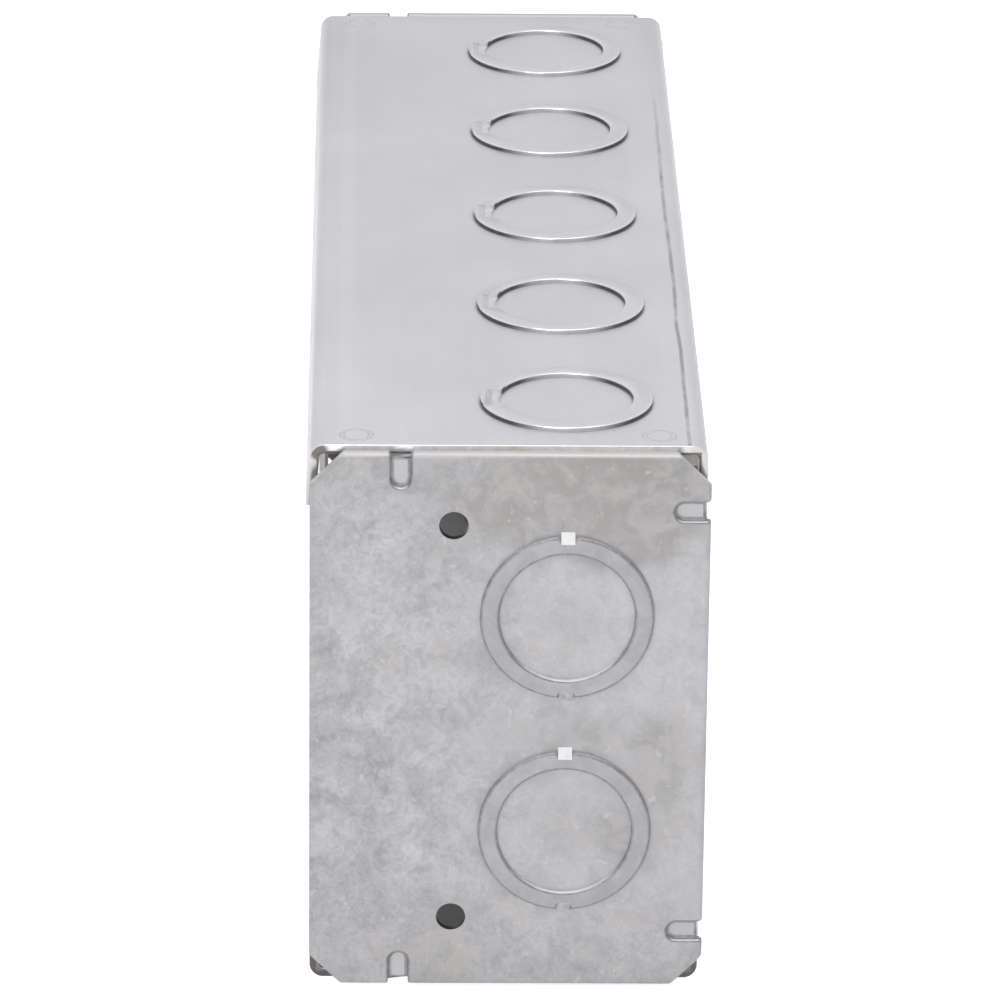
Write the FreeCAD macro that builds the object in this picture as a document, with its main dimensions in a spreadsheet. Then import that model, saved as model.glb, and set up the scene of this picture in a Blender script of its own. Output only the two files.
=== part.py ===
"""Flush back box for masonry: five gangs, in galvanised sheet steel.

Three pressed pieces make the box. One folded wrap is its top, back and bottom
walls and its two front lips. Two like end plates close its ends: each has
flanges that step in under the wrap's walls, where they are spot welded.

Millimetres. X runs along the five gangs, the open front faces -Y and +Z is up.
The origin is the middle of the footprint, at the level that the box rests on.
Each body is drawn about the middle of the box's height.
"""

import math
import os

import FreeCAD
import Part
import Sketcher

SIZES = [
    # The whole box
    ("gang_count", 5, "gangs side by side"),
    ("gang_pitch", 46.04, "from one gang's middle to the next"),
    ("end_margin", 24.62, "from the last gang's middle to the outer face of the end"),
    ("case_height", 95.25, "outside height of the wrap"),
    ("case_depth", 64.8, "outside depth of the wrap, front to back"),
    ("sheet", 1.6, "thickness of the galvanised sheet"),
    # The wrap
    ("wrap_bend", 2.4, "outside radius of the wrap's folds"),
    ("wrap_setback", 3.5, "from an end plate's outer face to the wrap's cut edge"),
    ("lip_height", 10.6, "height of each front lip, outside"),
    ("lip_spring", 0.7, "how far the upper lip's free edge springs forward"),
    ("device_drop", 5.955, "from the wrap's top or bottom to the nearer device screws"),
    ("device_hole", 3.5, "diameter of a tapped device screw hole"),
    ("nail_hole", 4.8, "diameter of a fixing hole"),
    ("nail_inset", 16.0, "from an end face to the back wall's fixing holes"),
    ("nail_spacing", 66.0, "between the upper and lower fixing holes of the back"),
    ("earth_hole", 4.2, "diameter of the tapped hole for the earth screw"),
    ("earth_drop", 30.0, "from mid height down to the earth screw's hole"),
    ("earth_boss", 5.5, "radius of the raised spot round the earth screw's hole"),
    ("earth_rise", 1.0, "height of that raised spot"),
    # Concentric knockouts
    ("ring_outer", 14.25, "outer radius of a knockout's ring"),
    ("disc_radius", 11.1, "radius of the disc inside the ring"),
    ("ring_rise", 0.8, "how far the half-sheared ring stands out"),
    ("notch_width", 6.4, "width of the tie between disc and ring"),
    ("notch_floor", 1.1, "how far that tie runs out level with the disc"),
    ("notch_rim", 0.7, "width of the ring's rim that stays up round the tie"),
    ("ramp_width", 2.3, "width of the ramps that tie an end plate's rings to its face"),
    ("ramp_crest", 1.3, "how far those ramps start inside the ring's edge"),
    ("ramp_foot", 0.6, "how far they end outside it"),
    ("knockout_inset", 22.7, "from the wrap's back to the knockouts' centres"),
    ("row_shift", 0.8, "how far the rows of knockouts lie towards the right end"),
    # The end plates
    ("plate_shy", 0.2, "how far an end plate lies inside the wrap's top and bottom"),
    ("plate_proud", 0.55, "how far an end plate reaches past the wrap's back"),
    ("corner_cut", 5.5, "legs of the plate's cut corners"),
    ("plate_bend", 1.0, "outside radius of the plate's folds"),
    ("flange_length", 9.4, "how far a flange reaches in from the outer face"),
    ("lap_gap", 0.05, "clearance between a flange and the wall over it"),
    ("end_pitch", 38.1, "between the two knockouts of an end plate"),
    ("end_hole_spacing", 69.85, "between the two fixing holes of an end plate"),
    ("end_hole_inset", 23.5, "from the front to an end plate's fixing holes"),
    # Stiffening beads across the plate's folds
    ("bead_radius", 1.65, "half the width of a bead's groove"),
    ("bead_depth", 1.0, "depth of that groove"),
    ("bead_length", 6.0, "how far a bead reaches across the plate's face"),
    ("bead_front", 14.8, "from the front to the beads of the top and bottom folds"),
    ("bead_inset", 10.0, "from the plate's top and bottom to the back fold's beads"),
]

# Sizes that follow from those above
DERIVED = [
    ("gang_run", "=gang_pitch * (gang_count - 1)", "first gang to last"),
    ("case_length", "=gang_run + 2 * end_margin", "outside length over the end plates"),
    ("wrap_length", "=case_length - 2 * wrap_setback", "length of the wrap"),
    ("device_spacing", "=case_height - 2 * device_drop", "between a gang's device screws"),
    ("plate_height", "=case_height - 2 * plate_shy", "outside height of an end plate"),
    ("flange_drop", "=sheet + lap_gap - plate_shy",
     "step from the plate's fold to the flange under the wall"),
    ("back_drop", "=plate_proud + sheet + lap_gap", "the same step at the back"),
    ("step_run", "=wrap_setback - sheet - 2 * lap_gap", "how far in that step takes"),
    ("knockout_y", "=case_depth / 2 - knockout_inset", "knockouts' centres, from mid depth"),
    ("middle_z", "=case_height / 2 + ring_rise", "mid height, over the resting level"),
    ("middle_y", "=(lip_spring - max(plate_proud; ring_rise)) / 2", "mid depth, from the origin"),
]

doc = FreeCAD.newDocument("flush_back_box")
sheet = doc.addObject("Spreadsheet::Sheet", "Sizes")
for row, (alias, value, meaning) in enumerate(SIZES + DERIVED, start=1):
    sheet.set("A%d" % row, meaning)
    sheet.set("B%d" % row, str(value))
    sheet.setAlias("B%d" % row, alias)
doc.recompute()

ORIGIN = (-1, 1)
START, END, CENTRE = range(1, 4)
NEAR = 0.01


def bind(item, prop, formula):
    """Ties a property to a formula in the sheet's names."""
    item.setExpression(prop, formula)


def new_body(label, **place):
    """A body whose Placement follows the sheet."""
    body = doc.addObject("PartDesign::Body", label)
    body.Label = label
    for axis, formula in place.items():
        bind(body, ".Placement.Base.%s" % axis, formula)
    return body


def origin_feature(body, role):
    return next(item for item in body.Origin.OriginFeatures if item.Role == role)


def new_sketch(body, name, plane, height="0"):
    """A sketch on one of the body's own origin planes, raised by a formula."""
    sketch = body.newObject("Sketcher::SketchObject", name)
    sketch.AttachmentSupport = (origin_feature(body, plane), "")
    sketch.MapMode = "FlatFace"
    bind(sketch, ".AttachmentOffset.Base.z", height)
    return sketch


def dimension(sketch, kind, formula, *where):
    """A driving dimension with its value from the sheet."""
    value = float(sketch.evalExpression(formula))
    index = sketch.addConstraint(Sketcher.Constraint(kind, *where, value))
    bind(sketch, "Constraints[%d]" % index, formula)


def add_outline(sketch, corners):
    """A closed outline of straight edges, each corner set by two formulas."""
    points = [
        FreeCAD.Vector(*(float(sketch.evalExpression(formula)) for formula in corner), 0)
        for corner in corners
    ]
    edges = [
        sketch.addGeometry(Part.LineSegment(point, points[(i + 1) % len(points)]))
        for i, point in enumerate(points)
    ]
    for i, edge in enumerate(edges):
        following = edges[(i + 1) % len(edges)]
        sketch.addConstraint(Sketcher.Constraint("Coincident", edge, END, following, START))
    for edge, (across, up) in zip(edges, corners):
        dimension(sketch, "DistanceX", across, *ORIGIN, edge, START)
        dimension(sketch, "DistanceY", up, *ORIGIN, edge, START)


def add_rectangle(sketch, left, right, bottom, top):
    add_outline(sketch, [(left, bottom), (right, bottom), (right, top), (left, top)])


def add_circle(sketch, across, up, radius):
    """A circle placed and sized by formulas."""
    centre = FreeCAD.Vector(*(float(sketch.evalExpression(f)) for f in (across, up)), 0)
    size = float(sketch.evalExpression(radius))
    circle = sketch.addGeometry(Part.Circle(centre, FreeCAD.Vector(0, 0, 1), size))
    dimension(sketch, "DistanceX", across, *ORIGIN, circle, CENTRE)
    dimension(sketch, "DistanceY", up, *ORIGIN, circle, CENTRE)
    dimension(sketch, "Radius", radius, circle)


def sweep_sketch(kind, body, name, sketch, length, symmetric=False, reverse=False):
    """A Pad or Pocket of a sketch, with its length from the sheet."""
    feature = body.newObject("PartDesign::" + kind, name)
    feature.Profile = sketch
    if symmetric:
        feature.SideType = "Symmetric"
    feature.Reversed = reverse
    bind(feature, "Length", length)
    sketch.Visibility = False
    return feature


def pad(body, name, sketch, length, **options):
    return sweep_sketch("Pad", body, name, sketch, length, **options)


def pocket(body, name, sketch, length, **options):
    """A Pocket that is checked to have taken something away."""
    before = volume_of(body)
    feature = sweep_sketch("Pocket", body, name, sketch, length, **options)
    if not volume_of(body) < before:
        raise RuntimeError(name + " cuts nothing")
    return feature


def stop_on_failure():
    """Recomputes, and stops at the first object that failed."""
    doc.recompute()
    for item in doc.Objects:
        if {"Invalid", "Error"} & set(item.State):
            raise RuntimeError("%s failed: %s" % (item.Name, item.State))


def volume_of(body):
    stop_on_failure()
    return body.Shape.Volume


def along_gangs(body, name, features):
    """Repeats features from the first gang to the last."""
    pattern = body.newObject("PartDesign::LinearPattern", name)
    pattern.Originals = features
    pattern.Direction = (origin_feature(body, "X_Axis"), [""])
    pattern.Mode = "Extent"
    bind(pattern, "Length", "Sizes.gang_run")
    bind(pattern, "Occurrences", "Sizes.gang_count")
    body.Tip = pattern
    doc.recompute()
    return pattern


def top_to_bottom(body, name, features):
    """Mirrors features in the plane at mid height."""
    mirror = body.newObject("PartDesign::Mirrored", name)
    mirror.Originals = features
    mirror.MirrorPlane = (origin_feature(body, "XY_Plane"), [""])
    body.Tip = mirror
    doc.recompute()
    return mirror


def soften(body, name, radius, wanted):
    """A Fillet on the edges of the body's tip that a test picks out."""
    doc.recompute()
    tip = body.Tip
    names = ["Edge%d" % (i + 1) for i, edge in enumerate(tip.Shape.Edges) if wanted(edge.BoundBox)]
    feature = body.newObject("PartDesign::Fillet", name)
    feature.Base = (tip, names)
    bind(feature, "Radius", radius)
    doc.recompute()
    return feature


def add_knockout(body, name, plane, face, inward, across, up):
    """One concentric knockout: the ring is half sheared outwards, the disc stays level.

    face is the height of the wall's outer face over the plane, and inward the sense
    in which that height falls.
    """
    ring = new_sketch(body, name + "_ring", plane, face)
    add_circle(ring, across, up, "Sizes.ring_outer")
    add_circle(ring, across, up, "Sizes.disc_radius")
    raised = pad(body, name + "_raised", ring, "Sizes.ring_rise", reverse=inward > 0)

    hollow = new_sketch(body, name + "_hollow", plane, "%s + %d * Sizes.sheet" % (face, inward))
    add_circle(hollow, across, up, "Sizes.ring_outer")
    add_circle(hollow, across, up, "Sizes.disc_radius")
    sunk = pocket(body, name + "_sunk", hollow, "Sizes.ring_rise", reverse=inward < 0)
    return [raised, sunk]


def add_disc_tie(body, name, level, rises):
    """The tie between a ring and its disc: a notch where the ring's inner part stays down.

    Its floor runs out level with the disc and then slopes up to the ring's rim. The
    metal under it is put back where the ring's hollow would leave the sheet thin.
    level is the height of the wall's outer face, and rises the sense of outwards.
    """
    inside = "Sizes.knockout_y - Sizes.disc_radius + Sizes.notch_floor"
    foot = "Sizes.knockout_y - Sizes.disc_radius - Sizes.notch_floor"
    crest = "Sizes.knockout_y - Sizes.ring_outer + Sizes.notch_rim"
    made = []
    for part, base in (("filled", "%s - %d * Sizes.sheet" % (level, rises)), ("notch", level)):
        sketch = new_sketch(body, "%s_%s_section" % (name, part), "YZ_Plane", FIRST_KNOCKOUT)
        high = "%s + %d * Sizes.ring_rise" % (base, rises)
        add_outline(sketch, [(inside, base), (foot, base), (crest, high), (inside, high)])
        make = pad if part == "filled" else pocket
        made.append(make(body, "%s_%s" % (name, part), sketch, "Sizes.notch_width", symmetric=True))
    return made


# The wrap: one blank of sheet, folded four times
wrap = new_body("box_wrap", y="Sizes.middle_y", z="Sizes.middle_z")
HALF_DEPTH = "Sizes.case_depth / 2"
HALF_HEIGHT = "Sizes.case_height / 2"
INNER_DEPTH = "(Sizes.case_depth / 2 - Sizes.sheet)"
INNER_HEIGHT = "(Sizes.case_height / 2 - Sizes.sheet)"

outside = new_sketch(wrap, "wrap_outside", "YZ_Plane")
add_rectangle(outside, "-" + HALF_DEPTH, HALF_DEPTH, "-" + HALF_HEIGHT, HALF_HEIGHT)
pad(wrap, "wrap_blank", outside, "Sizes.wrap_length", symmetric=True)


def runs_along_x(box):
    return box.XLength > NEAR and box.YLength < NEAR and box.ZLength < NEAR


soften(wrap, "outer_folds", "Sizes.wrap_bend", runs_along_x)

inside = new_sketch(wrap, "wrap_inside", "YZ_Plane")
add_rectangle(inside, "-" + INNER_DEPTH, INNER_DEPTH, "-" + INNER_HEIGHT, INNER_HEIGHT)
pocket(wrap, "wrap_hollow", inside, "Sizes.wrap_length + 1", symmetric=True)
inner_depth = float(outside.evalExpression(INNER_DEPTH))


def is_inner_corner(box):
    return runs_along_x(box) and abs(abs(box.YMin) - inner_depth) < NEAR


soften(wrap, "inner_folds", "Sizes.wrap_bend - Sizes.sheet", is_inner_corner)

# The front stays open between the lips, and the upper lip is made anew because it leans
mouth = new_sketch(wrap, "front_mouth", "YZ_Plane")
add_rectangle(
    mouth,
    "-%s - 1" % HALF_DEPTH,
    "-%s + 0.5" % INNER_DEPTH,
    "-%s + Sizes.lip_height" % HALF_HEIGHT,
    HALF_HEIGHT + " - Sizes.wrap_bend",
)
pocket(wrap, "front_opening", mouth, "Sizes.wrap_length + 1", symmetric=True)

lip = new_sketch(wrap, "upper_lip_section", "YZ_Plane")
LIP_TOP = HALF_HEIGHT + " - Sizes.wrap_bend"
LIP_EDGE = HALF_HEIGHT + " - Sizes.lip_height"
add_outline(
    lip,
    [
        ("-" + HALF_DEPTH, LIP_TOP),
        ("-%s - Sizes.lip_spring" % HALF_DEPTH, LIP_EDGE),
        ("-%s - Sizes.lip_spring" % INNER_DEPTH, LIP_EDGE),
        ("-" + INNER_DEPTH, LIP_TOP),
    ],
)
pad(wrap, "upper_lip", lip, "Sizes.wrap_length", symmetric=True)

# Device screws: one tapped hole in each lip for each gang
FIRST_GANG = "-Sizes.gang_run / 2"
device = new_sketch(wrap, "device_hole", "XZ_Plane", HALF_DEPTH)
for sense in ("", "-"):
    add_circle(device, FIRST_GANG, sense + "Sizes.device_spacing / 2", "Sizes.device_hole / 2")
device_cut = pocket(wrap, "device_cut", device, "6 * Sizes.sheet", symmetric=True)
along_gangs(wrap, "device_holes", [device_cut])

# Knockouts of the top and bottom walls, one for each gang
FIRST_KNOCKOUT = FIRST_GANG + " + Sizes.row_shift"
top_knockout = add_knockout(
    wrap, "top_knockout", "XY_Plane", HALF_HEIGHT, -1, FIRST_KNOCKOUT, "Sizes.knockout_y"
)
along_gangs(wrap, "top_knockouts", top_knockout + add_disc_tie(wrap, "top_tie", HALF_HEIGHT, 1))

bottom_knockout = add_knockout(
    wrap, "bottom_knockout", "XY_Plane", "-" + HALF_HEIGHT, 1, FIRST_KNOCKOUT, "Sizes.knockout_y"
)
bottom_tie = add_disc_tie(wrap, "bottom_tie", "-" + HALF_HEIGHT, -1)
along_gangs(wrap, "bottom_knockouts", bottom_knockout + bottom_tie)

# Plain knockouts of the back wall, for the smaller conduit alone
slug = new_sketch(wrap, "back_slug", "XZ_Plane", "-" + HALF_DEPTH)
add_circle(slug, FIRST_KNOCKOUT, "0", "Sizes.disc_radius")
slug_raised = pad(wrap, "back_slug_raised", slug, "Sizes.ring_rise", reverse=True)
slug_hollow = new_sketch(wrap, "back_slug_hollow", "XZ_Plane", "-" + INNER_DEPTH)
add_circle(slug_hollow, FIRST_KNOCKOUT, "0", "Sizes.disc_radius")
slug_sunk = pocket(wrap, "back_slug_sunk", slug_hollow, "Sizes.ring_rise")
along_gangs(wrap, "back_knockouts", [slug_raised, slug_sunk])

# Fixing holes of the back wall and the raised, tapped spot for the earth screw
EARTH_X = "-Sizes.gang_run / 2 + Sizes.gang_pitch / 2"
earth_spot = new_sketch(wrap, "earth_spot", "XZ_Plane", "-%s" % INNER_DEPTH)
add_circle(earth_spot, EARTH_X, "-Sizes.earth_drop", "Sizes.earth_boss")
pad(wrap, "earth_raised", earth_spot, "Sizes.earth_rise")
earth_back = new_sketch(wrap, "earth_back", "XZ_Plane", "-" + HALF_DEPTH)
add_circle(earth_back, EARTH_X, "-Sizes.earth_drop", "Sizes.earth_boss - Sizes.sheet / 2")
pocket(wrap, "earth_sunk", earth_back, "Sizes.earth_rise", reverse=True)

back_holes = new_sketch(wrap, "back_holes", "XZ_Plane", "-" + HALF_DEPTH)
for side in ("", "-"):
    for level in ("", "-"):
        add_circle(
            back_holes,
            side + "(Sizes.case_length / 2 - Sizes.nail_inset)",
            level + "Sizes.nail_spacing / 2",
            "Sizes.nail_hole / 2",
        )
add_circle(back_holes, EARTH_X, "-Sizes.earth_drop", "Sizes.earth_hole / 2")
pocket(wrap, "back_drilling", back_holes, "6 * Sizes.sheet", symmetric=True)


def build_end_plate(label, facing):
    """One end plate, drawn with its outer face on the YZ plane and its flanges at -X.

    The plate is alike above and below mid height, so the left one is the same
    stamping turned half round about the Y axis. facing is +1 at the right end.
    """
    plate = new_body(
        label,
        x="%d * Sizes.case_length / 2" % facing,
        y="Sizes.middle_y",
        z="Sizes.middle_z",
    )
    turn = 0 if facing > 0 else 180
    plate.Placement.Rotation = FreeCAD.Rotation(FreeCAD.Vector(0, 1, 0), turn)

    front = "-Sizes.case_depth / 2"
    back = "(Sizes.case_depth / 2 + Sizes.plate_proud)"
    top = "Sizes.plate_height / 2"
    cut = "Sizes.corner_cut"

    face = new_sketch(plate, label + "_outline", "YZ_Plane")
    add_outline(
        face,
        [
            (front, "-%s + %s" % (top, cut)),
            ("%s + %s" % (front, cut), "-" + top),
            ("%s - %s" % (back, cut), "-" + top),
            (back, "-%s + %s" % (top, cut)),
            (back, "%s - %s" % (top, cut)),
            ("%s - %s" % (back, cut), top),
            ("%s + %s" % (front, cut), top),
            (front, "%s - %s" % (top, cut)),
        ],
    )
    pad(plate, label + "_face", face, "Sizes.sheet", reverse=True)

    # Flanges: each leaves the fold, steps in by one sheet and runs on under the wall
    side_profile = new_sketch(plate, label + "_top_section", "XZ_Plane", "-Sizes.plate_proud / 2")
    add_outline(side_profile, flange_corners(top, "Sizes.flange_drop"))
    top_flange = pad(
        plate,
        label + "_top_flange",
        side_profile,
        "Sizes.case_depth + Sizes.plate_proud - 2 * Sizes.corner_cut",
        symmetric=True,
    )
    back_profile = new_sketch(plate, label + "_back_section", "XY_Plane")
    add_outline(back_profile, flange_corners(back, "Sizes.back_drop"))
    pad(
        plate,
        label + "_back_flange",
        back_profile,
        "Sizes.plate_height - 2 * Sizes.corner_cut",
        symmetric=True,
    )
    top_to_bottom(plate, label + "_flanges", [top_flange])

    limit = float(face.evalExpression(top)) - NEAR
    reach = float(face.evalExpression(back)) - NEAR

    def is_fold(box):
        at_face = box.XMax > -NEAR and box.XLength < NEAR
        over_top = box.ZMin > limit or box.ZMax < -limit
        return at_face and (over_top or box.YMin > reach)

    soften(plate, label + "_folds", "Sizes.plate_bend", is_fold)

    # Beads pressed inwards across the folds, as a ridge inside and a groove outside
    ridges = []
    grooves = []
    bead_y = "%s + Sizes.bead_front" % front
    bead_z = "%s - Sizes.bead_inset" % top
    for name, middle, level, upright in (
        ("top_bead", bead_y, top, True),
        ("back_bead", bead_z, back, False),
    ):
        ridge = new_sketch(plate, "%s_%s_ridge" % (label, name), "YZ_Plane", "-Sizes.sheet")
        wide = "(Sizes.bead_radius + Sizes.sheet / 3)"
        add_bead(ridge, middle, level, wide, "Sizes.flange_drop + Sizes.sheet / 2", upright)
        ridges.append(
            pad(plate, "%s_%s_raised" % (label, name), ridge, "Sizes.bead_depth", reverse=True)
        )
    for name, middle, level, upright in (
        ("top_bead", bead_y, top, True),
        ("back_bead", bead_z, back, False),
    ):
        groove = new_sketch(plate, "%s_%s_groove" % (label, name), "YZ_Plane")
        add_bead(groove, middle, level, "Sizes.bead_radius", "-1", upright)
        grooves.append(
            pocket(plate, "%s_%s_sunk" % (label, name), groove, "Sizes.bead_depth")
        )
        over = new_sketch(
            plate,
            "%s_%s_notch" % (label, name),
            "XY_Plane" if upright else "XZ_Plane",
            level if upright else "-" + level,
        )
        low = "%s - Sizes.bead_radius" % middle
        high = "%s + Sizes.bead_radius" % middle
        add_rectangle(over, "-2.5 * Sizes.sheet", "1", low, high)
        grooves.append(
            pocket(
                plate,
                "%s_%s_notched" % (label, name),
                over,
                "Sizes.bead_depth",
                reverse=not upright,
            )
        )
    top_to_bottom(plate, label + "_lower_beads", ridges + grooves)

    # Two concentric knockouts, with a ramp down to the face above and below each ring
    centre = "Sizes.end_pitch / 2"
    lower_half = add_knockout(
        plate, label + "_knockout", "YZ_Plane", "0", -1, "Sizes.knockout_y", centre
    )
    for part, make, far_corner in (("cut", pocket, "foot"), ("ramp", pad, "crest")):
        slopes = new_sketch(plate, "%s_%s_section" % (label, part), "XZ_Plane", "-Sizes.knockout_y")
        for toward in (-1, 1):
            reach = {
                "crest": "%s + %d * (Sizes.ring_outer - Sizes.ramp_crest)" % (centre, toward),
                "foot": "%s + %d * (Sizes.ring_outer + Sizes.ramp_foot)" % (centre, toward),
            }
            corner = ("Sizes.ring_rise" if part == "cut" else "0", reach[far_corner])
            add_outline(slopes, [("Sizes.ring_rise", reach["crest"]), ("0", reach["foot"]), corner])
        lower_half.append(
            make(plate, "%s_%s" % (label, part), slopes, "Sizes.ramp_width", symmetric=True)
        )
    hole = new_sketch(plate, label + "_hole", "YZ_Plane")
    add_circle(hole, front + " + Sizes.end_hole_inset", "Sizes.end_hole_spacing / 2", "Sizes.nail_hole / 2")
    lower_half.append(
        pocket(plate, label + "_hole_cut", hole, "4 * Sizes.sheet", symmetric=True)
    )
    top_to_bottom(plate, label + "_lower_half", lower_half)
    return plate


def flange_corners(level, drop):
    """Section of a flange: step, run under the wall, and back inside the sheet."""
    run = "(Sizes.sheet * tan(atan(%s / Sizes.step_run) / 2))" % drop
    low = "%s - %s" % (level, drop)
    return [
        ("-Sizes.sheet", level),
        ("-Sizes.sheet - Sizes.step_run", low),
        ("-Sizes.flange_length", low),
        ("-Sizes.flange_length", low + " - Sizes.sheet"),
        ("-Sizes.sheet - Sizes.step_run + " + run, low + " - Sizes.sheet"),
        ("-Sizes.sheet", "%s - Sizes.sheet - %s" % (level, run)),
        ("-Sizes.sheet / 2", "%s - Sizes.sheet - %s" % (level, run)),
        ("-Sizes.sheet / 2", level + " - Sizes.sheet / 2"),
    ]


def add_bead(sketch, middle, level, half_width, stop, upright):
    """Outline of a bead: a round end on the face, and straight sides out to the fold."""
    tip = "%s - Sizes.bead_length" % level
    far = "%s - (%s)" % (level, stop)
    near = "%s + %s" % (tip, half_width)
    low = "%s - %s" % (middle, half_width)
    high = "%s + %s" % (middle, half_width)
    value = {name: float(sketch.evalExpression(text)) for name, text in (
        ("middle", middle), ("near", near), ("far", far), ("low", low), ("high", high),
        ("half", half_width))}

    def at(across, up):
        pair = (across, up) if upright else (up, across)
        return FreeCAD.Vector(*pair, 0)

    corners = [
        at(value["high"], value["near"]),
        at(value["high"], value["far"]),
        at(value["low"], value["far"]),
        at(value["low"], value["near"]),
    ]
    lines = [
        sketch.addGeometry(Part.LineSegment(a, b)) for a, b in zip(corners, corners[1:])
    ]
    for a, b in zip(lines, lines[1:]):
        sketch.addConstraint(Sketcher.Constraint("Coincident", a, END, b, START))
    # The round end runs anticlockwise, from the low side of an upright bead
    first_angle = math.pi if upright else math.pi / 2
    circle = Part.Circle(
        at(value["middle"], value["near"]), FreeCAD.Vector(0, 0, 1), value["half"]
    )
    arc = sketch.addGeometry(Part.ArcOfCircle(circle, first_angle, first_angle + math.pi))
    low_end, high_end = (START, END) if upright else (END, START)
    sketch.addConstraint(Sketcher.Constraint("Coincident", arc, high_end, lines[0], START))
    sketch.addConstraint(Sketcher.Constraint("Coincident", arc, low_end, lines[2], END))
    kinds = ("DistanceX", "DistanceY") if upright else ("DistanceY", "DistanceX")
    for line, across, up in ((lines[0], high, near), (lines[1], high, far), (lines[2], low, far)):
        dimension(sketch, kinds[0], across, *ORIGIN, line, START)
        dimension(sketch, kinds[1], up, *ORIGIN, line, START)
    dimension(sketch, kinds[0], middle, *ORIGIN, arc, CENTRE)
    dimension(sketch, kinds[1], near, *ORIGIN, arc, CENTRE)
    dimension(sketch, kinds[1], near, *ORIGIN, arc, low_end)


bodies = [
    wrap,
    build_end_plate("end_plate_right", 1),
    build_end_plate("end_plate_left", -1),
]
stop_on_failure()

os.makedirs("parts", exist_ok=True)
for body in bodies:
    shape = body.Shape
    if shape.isNull() or not shape.isValid() or len(shape.Solids) != 1:
        raise RuntimeError(body.Label + " is not one valid solid")
    shape.exportStep("parts/%s.step" % body.Label)
    box = shape.BoundBox
    print(
        "%s: %.2f x %.2f x %.2f mm, %.1f mm3, z %.2f to %.2f"
        % (body.Label, box.XLength, box.YLength, box.ZLength, shape.Volume, box.ZMin, box.ZMax)
    )
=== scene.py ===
import math

import bmesh
import bpy
from mathutils import Matrix, Vector


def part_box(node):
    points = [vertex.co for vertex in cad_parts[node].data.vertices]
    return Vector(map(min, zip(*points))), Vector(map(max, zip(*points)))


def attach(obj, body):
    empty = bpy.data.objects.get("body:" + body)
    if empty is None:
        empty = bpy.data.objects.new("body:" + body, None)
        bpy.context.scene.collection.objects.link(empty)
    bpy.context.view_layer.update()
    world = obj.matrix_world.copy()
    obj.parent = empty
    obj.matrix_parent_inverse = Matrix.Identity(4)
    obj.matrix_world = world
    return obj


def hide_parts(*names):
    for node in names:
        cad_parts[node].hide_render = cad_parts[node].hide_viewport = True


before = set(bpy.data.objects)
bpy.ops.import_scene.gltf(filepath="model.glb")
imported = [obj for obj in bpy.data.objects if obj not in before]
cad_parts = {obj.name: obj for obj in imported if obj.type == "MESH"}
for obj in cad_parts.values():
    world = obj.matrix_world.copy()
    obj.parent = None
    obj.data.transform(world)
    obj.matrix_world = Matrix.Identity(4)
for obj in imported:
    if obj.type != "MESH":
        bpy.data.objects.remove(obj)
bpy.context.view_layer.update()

# The wrap: one blank of galvanised sheet, folded four times into the top, back and bottom
# walls and the two front lips. Its knockouts are half sheared, which leaves dark torn walls,
# their darkness partly painted shade, with worn bright rims round the rings, and its cut ends
# are bright with a dark torn inner part, partly painted shade. Its inside is painted darker
# as shade.
WRAP_LOW, WRAP_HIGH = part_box("box_wrap")
MIDDLE = (WRAP_LOW + WRAP_HIGH) / 2
SHEET = 0.0016
CASE_DEPTH = 0.0648
RING_RISE = 0.0008
RING_PITCH = 0.04604
RING_SHIFT = 0.0008
RING_PLACE = 0.00965
RING_INSIDE = 0.0111
RING_OUTSIDE = 0.01425
TIE_HALF_WIDTH = 0.0036
WALL_TOP = WRAP_HIGH.z - RING_RISE
WALL_BOTTOM = WRAP_LOW.z + RING_RISE
WALL_BACK = WRAP_HIGH.y - RING_RISE
WALL_FRONT = WALL_BACK - CASE_DEPTH
LIP_LEAN = WALL_FRONT - WRAP_LOW.y

# Where one wall's faces end and the next wall's begin, from mid height, mid depth or a wall.
WALL_ZONE = 0.0430
LIP_ZONE = 0.0436
LIP_EDGE_ZONE = 0.0050
BACK_ZONE = 0.0035
FLAT_HALF_DEPTH = 0.0280
INSIDE_HALF_LENGTH = 0.1145
ACROSS_BOX = 0.0040
DISC_INSET = 0.0006
END_BAND = 0.0004
END_HALF_DEPTH = 0.0290

# The press rounds an edge by so much, and a knockout's rim by a little more.
PRESSED_EDGE = 0.00012
RIM_EDGE = 0.00018
SHARP = math.radians(24)
FLAT = math.radians(0.4)
MERGE = 0.00004
HAIR = 0.00002

WRAP_GREY = (0.685, 0.687, 0.720)
# The inside's grey is painted shade: the inside of the box is darkened by colour.
INSIDE_SHADE_GREY = (0.385, 0.385, 0.392)
CUT_GREY = (0.77, 0.765, 0.765)
TORN_AND_SHADE_GREY = (0.20, 0.185, 0.17)
CORNER_GREY = (0.56, 0.54, 0.535)
CUT_SHADE_GREY = (0.05, 0.048, 0.045)
# A near black for torn walls, also used as painted shade.
RING_WALL_AND_SHADE_GREY = (0.085, 0.083, 0.082)
# The grey of steel worn bright, also mixed in as painted highlights.
WORN_AND_HIGHLIGHT_GREY = (0.86, 0.86, 0.865)
FOLD_SHADE_GREY = (0.30, 0.30, 0.30)


def pressed_copy(node):
    """A CAD node's mesh with its triangles joined into whole faces, to be worked on."""
    shape = bmesh.new()
    shape.from_mesh(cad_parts[node].data)
    bmesh.ops.remove_doubles(shape, verts=shape.verts, dist=MERGE)
    bmesh.ops.dissolve_limit(
        shape,
        angle_limit=FLAT,
        use_dissolve_boundaries=False,
        verts=shape.verts,
        edges=shape.edges,
    )
    return shape


def plain_mesh(piece):
    """Turns a piece's modifiers into its mesh, and removes them."""
    seen = piece.evaluated_get(bpy.context.evaluated_depsgraph_get())
    final = bpy.data.meshes.new_from_object(seen)
    piece.modifiers.clear()
    piece.data = final
    final.name = piece.name
    return piece


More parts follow.
